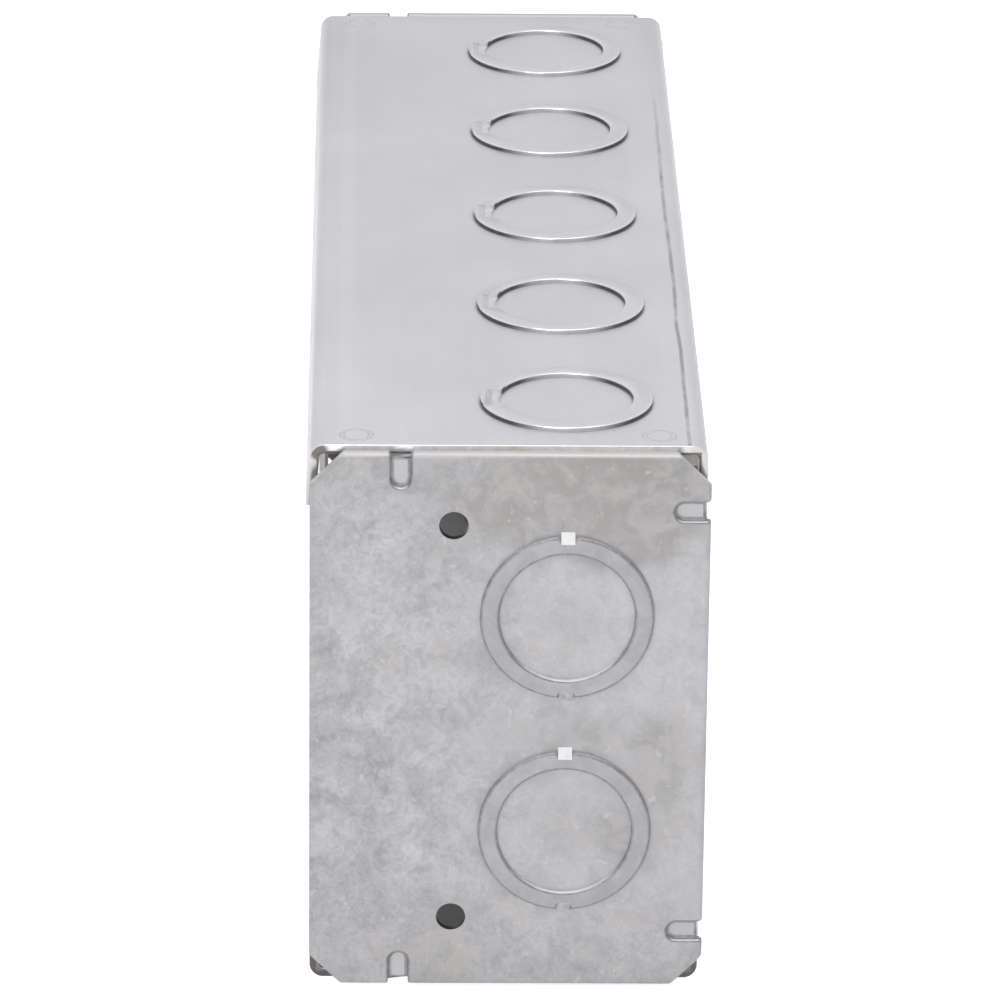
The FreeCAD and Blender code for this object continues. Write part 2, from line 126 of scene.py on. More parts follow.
def finish_pressing(shape, name, materials, rim_of, rim_finish):
    """Makes the piece, its edges rounded as the press leaves them: rim_of(edge) is the
    width of that rounding, and rim_finish(place, normal) is its material's number."""
    weights = shape.edges.layers.float.new("bevel_weight_edge")
    widest = 0.0
    for edge in shape.edges:
        if len(edge.link_faces) == 2 and edge.calc_face_angle() > SHARP:
            edge[weights] = rim_of(edge)
            widest = max(widest, edge[weights])
    for edge in shape.edges:
        edge[weights] /= widest
        finishes = {face.material_index for face in edge.link_faces}
        if edge[weights] == 0.0 and (edge.calc_face_angle(0.0) > SHARP or len(finishes) > 1):
            edge.smooth = False
    mesh = bpy.data.meshes.new(name)
    shape.to_mesh(mesh)
    shape.free()
    for material in materials:
        mesh.materials.append(material)
    piece = bpy.data.objects.new(name, mesh)
    bpy.context.scene.collection.objects.link(piece)
    mesh.polygons.foreach_set("use_smooth", [True] * len(mesh.polygons))
    rounding = piece.modifiers.new("pressed_edges", "BEVEL")
    rounding.width = widest
    rounding.segments = 3
    rounding.limit_method = "WEIGHT"
    rounding.material = len(materials)
    mesh.materials.append(materials[0])
    rounding.harden_normals = True
    rounding.use_clamp_overlap = False
    plain_mesh(piece)
    for polygon in piece.data.polygons:
        if polygon.material_index == len(materials):
            polygon.material_index = rim_finish(polygon.center, polygon.normal)
    piece.data.materials.pop(index=len(materials))
    return piece


def add_node(tree, kind, **values):
    """A node with its inputs set: a plain value, or a socket to link from."""
    node = tree.nodes.new(kind)
    for key, value in values.items():
        if key.startswith("in_"):
            name = key[3:]
            socket = node.inputs[int(name) if name.isdigit() else name.replace("_", " ")]
            if isinstance(value, bpy.types.NodeSocket):
                tree.links.new(value, socket)
            else:
                socket.default_value = value
        else:
            setattr(node, key, value)
    return node


def grey_steps(tree, factor, steps):
    """A colour ramp from (place, colour) pairs."""
    ramp = add_node(tree, "ShaderNodeValToRGB", in_Fac=factor)
    bar = ramp.color_ramp
    while len(bar.elements) < len(steps):
        bar.elements.new(0.5)
    for element, (place, colour) in zip(bar.elements, steps):
        element.position = place
        element.color = (*colour, 1.0)
    return ramp.outputs["Color"]


def mixed(tree, factor, first, second, blend="MIX"):
    """Mixes two colours by a factor."""
    node = tree.nodes.new("ShaderNodeMix")
    node.data_type = "RGBA"
    node.blend_type = blend
    for socket, value in ((node.inputs[0], factor), (node.inputs[6], first), (node.inputs[7], second)):
        if isinstance(value, bpy.types.NodeSocket):
            tree.links.new(value, socket)
        elif socket.type == "RGBA":
            socket.default_value = (*value, 1.0)
        else:
            socket.default_value = value
    return node.outputs[2]


def tinted(colour, share):
    return tuple(channel * share for channel in colour)


def new_steel(name, metallic, specular=0.5):
    """An empty steel material: its tree, its shader and its Object coordinates."""
    material = bpy.data.materials.new(name)
    material.use_nodes = True
    tree = material.node_tree
    shader = tree.nodes["Principled BSDF"]
    shader.inputs["Metallic"].default_value = metallic
    shader.inputs["Specular IOR Level"].default_value = specular
    place = tree.nodes.new("ShaderNodeTexCoord").outputs["Object"]
    return material, tree, shader, place


def noise(tree, place, scale, detail=2.0, roughness=0.5, distortion=0.0):
    """The factor of a noise of so many lumps to the metre."""
    return add_node(
        tree,
        "ShaderNodeTexNoise",
        in_Vector=place,
        in_Scale=scale,
        in_Detail=detail,
        in_Roughness=roughness,
        in_Distortion=distortion,
    ).outputs["Fac"]


def worked(tree, operation, first, second=0.0, third=0.0):
    """One step of arithmetic on sockets or numbers."""
    return add_node(
        tree, "ShaderNodeMath", operation=operation, in_0=first, in_1=second, in_2=third
    ).outputs[0]


def times(tree, first, second):
    return worked(tree, "MULTIPLY", first, second)


def larger(tree, first, second):
    return worked(tree, "MAXIMUM", first, second)


def offset(tree, value, centre):
    return worked(tree, "SUBTRACT", value, centre)


def distance(tree, first, second):
    """The long side of the triangle with these two short sides."""
    squares = worked(tree, "ADD", worked(tree, "POWER", first, 2.0), worked(tree, "POWER", second, 2.0))
    return worked(tree, "SQRT", squares)


def eased(tree, value, low, high, start=0.0, end=1.0):
    """Maps a value from low..high to start..end with soft ends."""
    node = add_node(
        tree,
        "ShaderNodeMapRange",
        interpolation_type="SMOOTHSTEP",
        in_0=value,
        in_1=low,
        in_2=high,
        in_3=start,
        in_4=end,
    )
    return node.outputs["Result"]


def parts_of(tree, vector):
    """The X, Y and Z of a vector socket."""
    split = add_node(tree, "ShaderNodeSeparateXYZ", in_0=vector)
    return split.outputs[0], split.outputs[1], split.outputs[2]


def roughened(tree, shader, height, strength, depth):
    relief = add_node(
        tree, "ShaderNodeBump", in_Strength=strength, in_Distance=depth, in_Height=height
    )
    tree.links.new(relief.outputs["Normal"], shader.inputs["Normal"])


# The painted shade and highlights on the walls, along the folds and round the rings: each
# line's place and half width, the shares that it shows with, and the distances from mid height
# between which a face is outside.
LINE_CORE = 0.35
FOLD_SHADE_PLACE = 0.0297
FOLD_SHADE_HALF_WIDTH = 0.00045
FOLD_SHADE_WAVER = 0.0008
FOLD_SHADE_START = -0.075
FOLD_SHADE_FULL = -0.035
FOLD_HIGHLIGHT_PLACE = -0.0268
FOLD_HIGHLIGHT_HALF_WIDTH = 0.0016
FOLD_HIGHLIGHT = 0.12
OUTER_FOOT_SHADE_LINE = (RING_OUTSIDE + 0.00010, 0.00032)
INNER_FOOT_SHADE_LINE = (RING_INSIDE - 0.00012, 0.00036)
FOOT_SHADE = 0.62
FOOT_SHADE_END = 0.15
OUTER_HIGHLIGHT_LINE = (RING_OUTSIDE - 0.0001, 0.0006)
INNER_HIGHLIGHT_LINE = (RING_INSIDE + 0.0002, 0.0009)
RING_HIGHLIGHT = 0.35
OUTER_FACE = (0.0460, 0.0468)
RING_FACE = (0.0478, 0.0482)


def near_line(tree, value, centre, half_width):
    """One on a line, falling softly to nothing at half_width from it."""
    away = worked(tree, "ABSOLUTE", offset(tree, value, centre))
    return eased(tree, away, half_width * LINE_CORE, half_width, 1.0, 0.0)


def far_from_middle(tree, z, low, high, share=1.0):
    """Nothing near mid height, rising to a share between two distances from it."""
    away = worked(tree, "ABSOLUTE", offset(tree, z, MIDDLE.z))
    return eased(tree, away, low, high, 0.0, share)


def with_fold_shade_and_highlight(tree, place, base):
    """Painted shade as a dark broken line along the back fold's bend, and a painted highlight as a faint
    bright line along the front fold.
    """
    x, y, z = parts_of(tree, place)
    waver = times(tree, noise(tree, place, 55.0), FOLD_SHADE_WAVER)
    line = near_line(tree, worked(tree, "ADD", y, waver), FOLD_SHADE_PLACE, FOLD_SHADE_HALF_WIDTH)
    broken = eased(tree, noise(tree, place, 120.0, detail=3.0), 0.34, 0.62, 0.30, 0.85)
    reach = eased(tree, x, FOLD_SHADE_START, FOLD_SHADE_FULL)
    share = times(tree, times(tree, line, broken), reach)
    outside = far_from_middle(tree, z, *OUTER_FACE)
    base = mixed(tree, times(tree, share, outside), base, FOLD_SHADE_GREY)
    fold_highlight = times(tree, near_line(tree, y, FOLD_HIGHLIGHT_PLACE, FOLD_HIGHLIGHT_HALF_WIDTH), FOLD_HIGHLIGHT)
    return mixed(tree, times(tree, fold_highlight, outside), base, WORN_AND_HIGHLIGHT_GREY)


def with_ring_shade_and_highlights(tree, place, base):
    """Round each ring, painted shade as a dark line at the foot of its walls, and on the ring
    painted highlights along its edges, on the near side outside and the far side inside."""
    x, y, z = parts_of(tree, place)
    from_first = worked(tree, "ADD", x, 2.5 * RING_PITCH - RING_SHIFT)
    in_pitch = worked(tree, "FLOORED_MODULO", from_first, RING_PITCH)
    along_ring = offset(tree, in_pitch, RING_PITCH / 2)
    radius = distance(tree, along_ring, offset(tree, y, RING_PLACE))
    turned = worked(tree, "DIVIDE", along_ring, radius)
    near_side = eased(tree, turned, -0.30, 0.45)
    far_side = eased(tree, turned, 0.30, -0.45)
    # Painted shade at the foot of the walls, outside on the near side and inside on the far side.
    outer_foot_shade = near_line(tree, radius, *OUTER_FOOT_SHADE_LINE)
    inner_foot_shade = near_line(tree, radius, *INNER_FOOT_SHADE_LINE)
    feet_shade = larger(tree, times(tree, outer_foot_shade, near_side), times(tree, inner_foot_shade, far_side))
    side_on = eased(tree, worked(tree, "ABSOLUTE", turned), 0.60, 1.0, FOOT_SHADE, FOOT_SHADE_END)
    shade = times(tree, times(tree, feet_shade, side_on), far_from_middle(tree, z, *OUTER_FACE))
    base = mixed(tree, shade, base, RING_WALL_AND_SHADE_GREY)
    # Painted highlights along the ring's edges, on the same sides.
    outer_edge_highlight = near_line(tree, radius, *OUTER_HIGHLIGHT_LINE)
    inner_edge_highlight = near_line(tree, radius, *INNER_HIGHLIGHT_LINE)
    ring_highlights = larger(tree, times(tree, outer_edge_highlight, near_side), times(tree, inner_edge_highlight, far_side))
    raised = far_from_middle(tree, z, *RING_FACE, RING_HIGHLIGHT)
    return mixed(tree, times(tree, ring_highlights, raised), base, WORN_AND_HIGHLIGHT_GREY)


def rolled_steel(name, colour, metallic=0.35, painted_light_marks=False, rubbed=0.0):
    """Smooth galvanised sheet: faint clouds, fine grain and streaks along the rolling, and
    where it was rubbed, uneven small patches of that strength."""
    material, tree, shader, place = new_steel(name, metallic)
    clouds = noise(tree, place, 38.0, detail=3.0, roughness=0.55)
    along = add_node(tree, "ShaderNodeMapping", in_Vector=place, in_Scale=(6.0, 160.0, 160.0))
    streaks = noise(tree, along.outputs["Vector"], 3.0, detail=4.0, roughness=0.6)
    grain = noise(tree, place, 1500.0)
    tone = grey_steps(tree, clouds, [(0.3, tinted(colour, 0.95)), (0.7, tinted(colour, 1.04))])
    streaked = grey_steps(tree, streaks, [(0.3, (0.965,) * 3), (0.7, (1.0,) * 3)])
    speckled = grey_steps(tree, grain, [(0.25, (0.97,) * 3), (0.75, (1.0,) * 3)])
    base = mixed(tree, 1.0, mixed(tree, 1.0, tone, streaked, "MULTIPLY"), speckled, "MULTIPLY")
    if rubbed:
        rubs = noise(tree, place, 260.0, detail=4.0, roughness=0.65, distortion=0.5)
        uneven = grey_steps(tree, rubs, [(0.35, (1.0 - rubbed,) * 3), (0.65, (1.0 + rubbed,) * 3)])
        base = mixed(tree, 1.0, base, uneven, "MULTIPLY")
    # The wrap's painted shade and highlights along its folds and round its rings.
    if painted_light_marks:
        base = with_fold_shade_and_highlight(tree, place, base)
        base = with_ring_shade_and_highlights(tree, place, base)
    tree.links.new(base, shader.inputs["Base Color"])
    tree.links.new(eased(tree, streaks, 0.2, 0.8, 0.36, 0.50), shader.inputs["Roughness"])
    roughened(tree, shader, grain, 0.10, 0.0001)
    return material


# On a cut end the blade burnishes the sheet to BURNISHED deep and tears it from TORN on.
# Its corners are duller, with painted shade in a spot at the top and along the bottom.
BURNISHED = 0.00115
TORN = 0.00135
RAGGED = 0.0003
CORNER_START = 0.0282
CORNER_FULL = 0.0300
SHADE_SPOT_Y = -0.0310
SHADE_SPOT_Z = 0.0948
SHADE_SPOT_CORE = 0.0010
SHADE_SPOT_REACH = 0.0019
LOW_SHADE_CORE = 0.0050
LOW_SHADE_REACH = 0.0085


def inside_of(tree, value, low, high):
    """How far a value lies inside the nearer of two limits."""
    return worked(tree, "MINIMUM", offset(tree, value, low), offset(tree, high, value))


def cut_steel(name):
    """A punched end: burnished over the outer two thirds of the sheet, torn and darker inside,
    that darkness partly torn steel and partly painted shade, with fine scores across it and
    rust-brown stains here and there."""
    material, tree, shader, place = new_steel(name, metallic=0.8)
    x, y, z = parts_of(tree, place)
    from_ends = inside_of(tree, y, WALL_FRONT, WALL_BACK)
    inwards = worked(tree, "MINIMUM", inside_of(tree, z, WALL_BOTTOM, WALL_TOP), from_ends)
    scores = noise(tree, place, 700.0, detail=3.0, roughness=0.65)
    ragged = worked(tree, "ADD", inwards, times(tree, scores, RAGGED))
    torn = eased(tree, ragged, BURNISHED, TORN)
    stain = noise(tree, place, 90.0)
    tone = grey_steps(tree, scores, [(0.3, tinted(CUT_GREY, 0.86)), (0.65, tinted(CUT_GREY, 1.08))])
    warm = grey_steps(tree, stain, [(0.52, (1.0, 1.0, 1.0)), (0.72, (0.80, 0.66, 0.58))])
    bright = mixed(tree, 1.0, tone, warm, "MULTIPLY")
    corners = eased(tree, worked(tree, "ABSOLUTE", y), CORNER_START, CORNER_FULL)
    bright = mixed(tree, corners, bright, CORNER_GREY)
    # Painted shade: a dark spot at the top front corner, for the shade in a notch there, and darkening
    # towards the bottom.
    from_shade_spot = distance(tree, offset(tree, y, SHADE_SPOT_Y), offset(tree, z, SHADE_SPOT_Z))
    shade_spot = eased(tree, from_shade_spot, SHADE_SPOT_CORE, SHADE_SPOT_REACH, 0.8, 0.0)
    low_shade = eased(tree, z, LOW_SHADE_CORE, LOW_SHADE_REACH, 0.9, 0.0)
    bright = mixed(tree, larger(tree, shade_spot, low_shade), bright, CUT_SHADE_GREY)
    # The torn inner part: dark torn steel, and painted shade of the gap under the edge.
    tree.links.new(mixed(tree, torn, bright, TORN_AND_SHADE_GREY), shader.inputs["Base Color"])
    tree.links.new(eased(tree, torn, 0.0, 1.0, 0.28, 0.55), shader.inputs["Roughness"])
    roughened(tree, shader, scores, 0.25, 0.0001)
    return material


def shaded_sheared_steel(name, colour, highlight_along_x=0.0, highlight_upwards=0.0, highlight_rise=(0.50, 0.85)):
    """The wall that a half shear leaves: dark and scored, that darkness partly torn steel and
    partly painted shade, with a painted highlight where it faces along X or up, by the shares given."""
    material, tree, shader, place = new_steel(name, metallic=0.3)
    normal = tree.nodes.new("ShaderNodeTexCoord").outputs["Normal"]
    x, y, z = parts_of(tree, normal)
    # Painted highlights by facing: towards bright grey where the face turns along X, or up.
    ends = eased(tree, worked(tree, "ABSOLUTE", x), 0.72, 1.0, 0.0, highlight_along_x)
    up_highlight = eased(tree, z, *highlight_rise, 0.0, highlight_upwards)
    scores = noise(tree, place, 900.0, detail=3.0, roughness=0.6)
    share = times(tree, larger(tree, ends, up_highlight), eased(tree, scores, 0.2, 0.5, 0.8, 1.0))
    tone = grey_steps(tree, scores, [(0.3, tinted(colour, 0.8)), (0.7, tinted(colour, 1.25))])
    tree.links.new(mixed(tree, share, tone, WORN_AND_HIGHLIGHT_GREY), shader.inputs["Base Color"])
    shader.inputs["Roughness"].default_value = 0.36
    roughened(tree, shader, scores, 0.2, 0.0001)
    return material


def worn_steel(name):
    """An edge or slope that the tool has rubbed bright."""
    material, tree, shader, place = new_steel(name, metallic=0.95)
    scores = noise(tree, place, 500.0, detail=3.0, roughness=0.6)
    tone = grey_steps(tree, scores, [(0.25, tinted(WORN_AND_HIGHLIGHT_GREY, 0.90)), (0.6, WORN_AND_HIGHLIGHT_GREY)])
    tree.links.new(tone, shader.inputs["Base Color"])
    shader.inputs["Roughness"].default_value = 0.24
    roughened(tree, shader, scores, 0.12, 0.0001)
    return material


WRAP_STEEL = rolled_steel("wrap_galvanised", WRAP_GREY, painted_light_marks=True)
CUT_STEEL = cut_steel("cut_edge_steel")
# The knockouts' walls: dark torn steel partly painted shade, with painted highlights where they face
# along X.
RING_WALL_SHADED_STEEL = shaded_sheared_steel("ring_wall_shaded_steel", RING_WALL_AND_SHADE_GREY, highlight_along_x=0.5)
WORN_STEEL = worn_steel("worn_edge_steel")
# Faces looking into the box take a darker grey as painted shade.
INSIDE_SHADE_STEEL = rolled_steel("inside_shade_galvanised", INSIDE_SHADE_GREY, metallic=0.15)
ROLLED, CUT, SHEARED, WORN, INSIDE = range(5)


def faces_inside(middle, normal):
    """Whether a face looks into the box."""
    ahead = middle + normal * ACROSS_BOX
    in_height = WALL_BOTTOM < ahead.z < WALL_TOP
    in_depth = WALL_FRONT + SHEET < ahead.y < WALL_BACK
    return abs(ahead.x) < INSIDE_HALF_LENGTH and in_depth and in_height


def ring_offset(place):
    """A place's offset along X from the middle of the nearest ring of its row."""
    return (place.x - RING_SHIFT + RING_PITCH / 2) % RING_PITCH - RING_PITCH / 2


def wrap_finish(middle, normal):
    """The finish of one face of the wrap: rolled, cut, sheared or worn."""
    from_middle = abs(middle.z - MIDDLE.z)
    if abs(middle.x) > WRAP_HIGH.x - HAIR:
        return CUT
    if faces_inside(middle, normal):
        return INSIDE
    if middle.y < WALL_FRONT + SHEET + HAIR:
        if abs(normal.z) > 0.9 and WALL_BOTTOM + LIP_EDGE_ZONE < middle.z < WALL_TOP - LIP_EDGE_ZONE:
            return CUT
        return SHEARED if abs(normal.y) < 0.5 and from_middle < LIP_ZONE else ROLLED
    if abs(middle.y - MIDDLE.y) < FLAT_HALF_DEPTH and from_middle > WALL_ZONE:
        across = abs(normal.z)
    elif from_middle < WALL_ZONE and middle.y > WALL_BACK - BACK_ZONE:
        across = abs(normal.y)
    else:
        return ROLLED
    if across < 0.5 and abs(normal.x) > 0.9 and abs(ring_offset(middle)) < TIE_HALF_WIDTH:
        return WORN
    return SHEARED if across < 0.5 else ROLLED


def wrap_rim(edge):
    """Wide round the rings, none at their ties, and narrow on every other outer edge."""
    if not edge.is_convex:
        return 0.0
    if not any(face.material_index in (SHEARED, WORN) for face in edge.link_faces):
        return PRESSED_EDGE
    middle = (edge.verts[0].co + edge.verts[1].co) / 2
    from_ring = math.hypot(ring_offset(middle), middle.y - RING_PLACE)
    if abs(middle.z - MIDDLE.z) < WALL_ZONE or from_ring < RING_INSIDE - DISC_INSET:
        return PRESSED_EDGE
    for corner in edge.verts:
        if abs(ring_offset(corner.co)) < TIE_HALF_WIDTH and corner.co.y < RING_PLACE:
            return 0.0
    return RIM_EDGE


def wrap_rim_finish(middle, normal):
    """Round the knockouts and along the cut ends the rounded edge is worn bright."""
    if faces_inside(middle, normal):
        return INSIDE
    at_end = abs(middle.x) > WRAP_HIGH.x - END_BAND and abs(middle.y) < END_HALF_DEPTH
    over = middle.z > WALL_TOP + HAIR or middle.z < WALL_BOTTOM - HAIR
    return WORN if at_end or over or middle.y > WALL_BACK + HAIR else ROLLED


wrap_shape = pressed_copy("box_wrap")
for face in wrap_shape.faces:
    face.material_index = wrap_finish(face.calc_center_median(), face.normal)
wrap = finish_pressing(
    wrap_shape,
    "folded_wrap",
    [WRAP_STEEL, CUT_STEEL, RING_WALL_SHADED_STEEL, WORN_STEEL, INSIDE_SHADE_STEEL],
    wrap_rim,
    wrap_rim_finish,
)
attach(wrap, "root")
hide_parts("box_wrap")

# The end plates: two like stampings, spot welded under the wrap's walls by their flanges.
# They come from a mottled spangled stock with stains and specks, and their rings are
# rubbed smooth where the punch held them.
KNOCKOUT_RISE = 0.01905
RAMP_HALF = 0.0014
BEAD_FRONT = WALL_FRONT + 0.0148
BEAD_INSET = 0.0100
BEAD_HALF = 0.0030
BEAD_REACH = 0.0072
BEAD_DEPTH = 0.0010
BEAD_EDGE = 0.00038
BEAD_FILLET = 0.00055
PLATE_EDGE = 0.8 * PRESSED_EDGE
PLATE_RIM_EDGE = 0.00042
END_HOLE_PLACE = WALL_FRONT + 0.0235
END_HOLE_SPACING = 0.06985
END_HOLE_RADIUS = 0.0024
FACE_HALF_DEPTH = 0.0285
FACE_HALF_HEIGHT = 0.0445

PLATE_GREY = (0.432, 0.430, 0.447)
RING_GREY = (0.388, 0.386, 0.406)
OLIVE_GREY = (0.330, 0.313, 0.303)
PINKISH_GREY = (0.44, 0.405, 0.39)
BLUISH_GREY = (0.455, 0.460, 0.495)
LIGHT_GREY = (0.545, 0.543, 0.575)
SPECK_GREY = (0.56, 0.55, 0.54)
PLATE_FOLD_HIGHLIGHT_GREY = (0.665, 0.645, 0.645)
BEAD_WALL_SHADE_GREY = (0.30, 0.297, 0.305)
BEAD_FLOOR_HIGHLIGHT_GREY = (0.50, 0.50, 0.515)
RING_EDGE_AND_SHADE_GREY = (0.27, 0.268, 0.28)
HOLE_GREY = (0.03, 0.03, 0.032)

# The sheet is duller in a band along its top and bottom edges and lighter towards the
# back. Its largest stain lies near the top, wider than it is high.
DULL_BAND = (0.026, 0.046)
LIGHT_BAND = (-0.028, 0.018)
STAIN_PLACE = (0.0, 0.0130, 0.0860)
STAIN_SHAPE = (0.0, 0.62, 1.15)
STAIN_REACH = (0.0060, 0.0150)


def spangled_steel(name, colour):
    """Mottled galvanised sheet: fine curled spangle, clouds, stains and light specks."""
    material, tree, shader, place = new_steel(name, metallic=0.30)
    x, y, z = parts_of(tree, place)
    clouds = noise(tree, place, 75.0, detail=5.0, roughness=0.62)
    patches = noise(tree, place, 30.0, detail=4.0, roughness=0.6)
    flakes = noise(tree, place, 210.0, detail=3.0, roughness=0.6, distortion=0.8)
    curls = noise(tree, place, 560.0, roughness=0.55, distortion=1.6)
    blues = noise(tree, place, 46.0, detail=3.0, roughness=0.55, distortion=0.4)
    specks = noise(tree, place, 620.0)
    tone = grey_steps(tree, clouds, [(0.32, tinted(colour, 0.83)), (0.68, tinted(colour, 1.13))])
    flaked = grey_steps(tree, flakes, [(0.34, (0.85,) * 3), (0.50, (1.0,) * 3), (0.66, (1.10,) * 3)])
    curled = grey_steps(tree, curls, [(0.36, (0.89,) * 3), (0.50, (1.0,) * 3), (0.66, (1.08,) * 3)])
    base = mixed(tree, 1.0, mixed(tree, 1.0, tone, flaked, "MULTIPLY"), curled, "MULTIPLY")
    dull = far_from_middle(tree, z, *DULL_BAND)
    light = times(tree, eased(tree, y, *LIGHT_BAND, 0.0, 0.50), offset(tree, 1.0, dull))
    base = mixed(tree, times(tree, dull, 0.30), base, OLIVE_GREY)
    base = mixed(tree, light, base, LIGHT_GREY)
    base = mixed(tree, eased(tree, blues, 0.52, 0.68, 0.0, 0.5), base, BLUISH_GREY)
    base = with_stains(tree, place, base, patches, flakes)
    base = mixed(tree, eased(tree, specks, 0.66, 0.74, 0.0, 0.5), base, SPECK_GREY)
    # Painted highlight: the fold along the top is lighter where it faces up.
    facing_up_share = parts_of(tree, tree.nodes.new("ShaderNodeTexCoord").outputs["Normal"])[2]
    base = mixed(tree, eased(tree, facing_up_share, 0.30, 0.80, 0.0, 0.8), base, PLATE_FOLD_HIGHLIGHT_GREY)
    tree.links.new(base, shader.inputs["Base Color"])
    tree.links.new(eased(tree, clouds, 0.2, 0.8, 0.42, 0.56), shader.inputs["Roughness"])
    roughened(tree, shader, worked(tree, "ADD", clouds, times(tree, curls, 0.4)), 0.12, 0.0002)
    return material


def with_stains(tree, place, base, patches, flakes):
    """The olive stain near the top, fainter ones elsewhere, and pinkish flecks."""
    centred = add_node(
        tree, "ShaderNodeVectorMath", operation="SUBTRACT", in_0=place, in_1=STAIN_PLACE
    )
    shaped = add_node(
        tree,
        "ShaderNodeVectorMath",
        operation="MULTIPLY",
        in_0=centred.outputs[0],
        in_1=STAIN_SHAPE,
    )
    away = add_node(tree, "ShaderNodeVectorMath", operation="LENGTH", in_0=shaped.outputs[0])
    largest = eased(tree, away.outputs["Value"], *STAIN_REACH, 0.27, 0.0)
    stained = eased(tree, worked(tree, "ADD", patches, largest), 0.52, 0.72, 0.0, 0.80)
    broken = times(tree, stained, eased(tree, flakes, 0.38, 0.60, 1.0, 0.55))
    base = mixed(tree, broken, base, OLIVE_GREY)
    pinks = times(tree, eased(tree, flakes, 0.53, 0.66, 0.0, 0.7), eased(tree, patches, 0.45, 0.6))
    return mixed(tree, pinks, base, PINKISH_GREY)


def dark_steel(name):
    """The wall of a drilled or punched hole, in the shade of the box's inside."""
    material, tree, shader, place = new_steel(name, metallic=0.2)
    scores = noise(tree, place, 900.0, detail=3.0, roughness=0.6)
    tone = grey_steps(tree, scores, [(0.3, tinted(HOLE_GREY, 0.8)), (0.7, tinted(HOLE_GREY, 1.6))])
    tree.links.new(tone, shader.inputs["Base Color"])
    shader.inputs["Roughness"].default_value = 0.5
    roughened(tree, shader, scores, 0.2, 0.0001)
    return material


PLATE_STEEL = spangled_steel("plate_galvanised", PLATE_GREY)
RING_STEEL = rolled_steel("ring_galvanised", RING_GREY, rubbed=0.09)
# The beads' walls are painted dark as shade.
BEAD_SHADE_STEEL = shaded_sheared_steel("bead_wall_shade_steel", BEAD_WALL_SHADE_GREY)
# The rings' edges: dark torn steel partly painted shade, with a painted highlight where they face up.
INNER_EDGE_SHADED_STEEL = shaded_sheared_steel("ring_inner_edge_shaded_steel", RING_EDGE_AND_SHADE_GREY, highlight_upwards=0.9)
OUTER_EDGE_SHADED_STEEL = shaded_sheared_steel("ring_outer_edge_shaded_steel", RING_EDGE_AND_SHADE_GREY, highlight_upwards=0.3)
# The ramps are painted bright where they slope up, as a highlight.
RAMP_HIGHLIGHT_STEEL = shaded_sheared_steel("ramp_highlight_steel", RING_GREY, highlight_upwards=0.8, highlight_rise=(0.05, 0.30))
HOLE_STEEL = dark_steel("hole_wall_steel")
PLATE_FINISHES = [
    PLATE_STEEL,
    CUT_STEEL,
    RING_STEEL,
    BEAD_SHADE_STEEL,
    INNER_EDGE_SHADED_STEEL,
    OUTER_EDGE_SHADED_STEEL,
    RAMP_HIGHLIGHT_STEEL,
    HOLE_STEEL,
    INSIDE_SHADE_STEEL,
    # The beads' floors are painted lighter, as a highlight.
    rolled_steel("bead_floor_highlight_galvanised", BEAD_FLOOR_HIGHLIGHT_GREY),
]
PLATE, RIM, RING, BEAD, INNER_EDGE, OUTER_EDGE, RAMP, HOLE, HOLLOW, BEAD_FLOOR = range(10)


def in_bead(middle):
    """Whether a place on the plate's face is in one of its four beads."""
    up = abs(middle.z - MIDDLE.z)
    top_bead = abs(middle.y - BEAD_FRONT) < BEAD_HALF and up > WALL_TOP - MIDDLE.z - BEAD_REACH
    drop = WALL_TOP - MIDDLE.z - BEAD_INSET
    return top_bead or (abs(up - drop) < BEAD_HALF and middle.y > WALL_BACK - BEAD_REACH)


def on_face(middle):
    """Whether a place is on the plate's flat face, away from its folds."""
    in_height = abs(middle.z - MIDDLE.z) <= FACE_HALF_HEIGHT
    return abs(middle.y - MIDDLE.y) <= FACE_HALF_DEPTH and in_height


def edge_side(middle):
    """Whether a place is on a plate ring's inner edge or its outer one."""
    from_ring = math.hypot(middle.y - RING_PLACE, abs(middle.z - MIDDLE.z) - KNOCKOUT_RISE)
    return INNER_EDGE if from_ring < (RING_INSIDE + RING_OUTSIDE) / 2 else OUTER_EDGE


